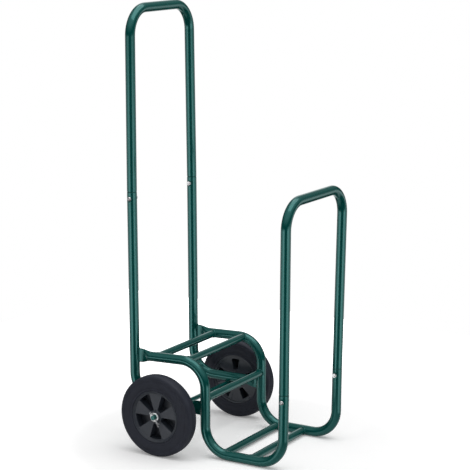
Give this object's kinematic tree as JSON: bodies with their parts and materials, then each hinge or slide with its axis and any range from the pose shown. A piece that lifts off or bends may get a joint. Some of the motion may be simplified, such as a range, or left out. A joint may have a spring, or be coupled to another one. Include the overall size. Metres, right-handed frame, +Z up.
{
  "type": "fireside log cart",
  "caption": "Two-wheeled bent-tube steel trolley for carrying and storing firewood, with a tall handle hoop, a shelf over the wheels, a floor cradle and a short front hoop.",
  "frame": {"origin": "on the floor, under the middle of the cart's box", "axes": "+Z up, +X from the tall handle hoop to the short front hoop, -Y is the cart's right-hand side"},
  "size_m": [0.474, 0.448, 1.125],
  "materials": {
    "green_paint": "dark green gloss powder coat",
    "zinc_plate": "bright zinc plate",
    "black_plastic": "moulded black plastic with a slight sheen",
    "black_rubber": "smooth black solid rubber"
  },
  "bodies": {
    "frame": {"handle_hoop": "green_paint", "front_hoop": "green_paint", "side_frame_right": "green_paint", "side_frame_left": "green_paint", "rear_upright_right": "green_paint", "rear_upright_left": "green_paint", "shelf_rear_bar": "green_paint", "shelf_front_bar": "green_paint", "step_bar": "green_paint", "floor_rear_bar": "green_paint", "floor_front_bar": "green_paint", "axle": "green_paint", "axle_spacer_right": "zinc_plate", "axle_spacer_left": "zinc_plate", "inner_washer_right": "zinc_plate", "inner_washer_left": "zinc_plate", "outer_washer_right": "zinc_plate", "outer_washer_left": "zinc_plate", "split_pin_right": "zinc_plate", "split_pin_left": "zinc_plate", "handle_screw_right": "zinc_plate", "handle_screw_left": "zinc_plate", "front_screw_right": "zinc_plate", "front_screw_left": "zinc_plate", "handle_nut_right": "zinc_plate", "handle_nut_left": "zinc_plate", "front_nut_right": "zinc_plate", "front_nut_left": "zinc_plate"},
    "wheel_right": {"wheel_rim_right": "black_plastic", "tyre_right": "black_rubber"},
    "wheel_left": {"wheel_rim_left": "black_plastic", "tyre_left": "black_rubber"}
  },
  "joints": [
    {"name": "wheel_right_spin", "type": "hinge", "parent": "frame", "child": "wheel_right", "pos_m": [-0.111, -0.1964, 0.105], "axis": [0, 1, 0], "continuous": true},
    {"name": "wheel_left_spin", "type": "hinge", "parent": "frame", "child": "wheel_left", "pos_m": [-0.111, 0.1964, 0.105], "axis": [0, 1, 0], "continuous": true}
  ]
}
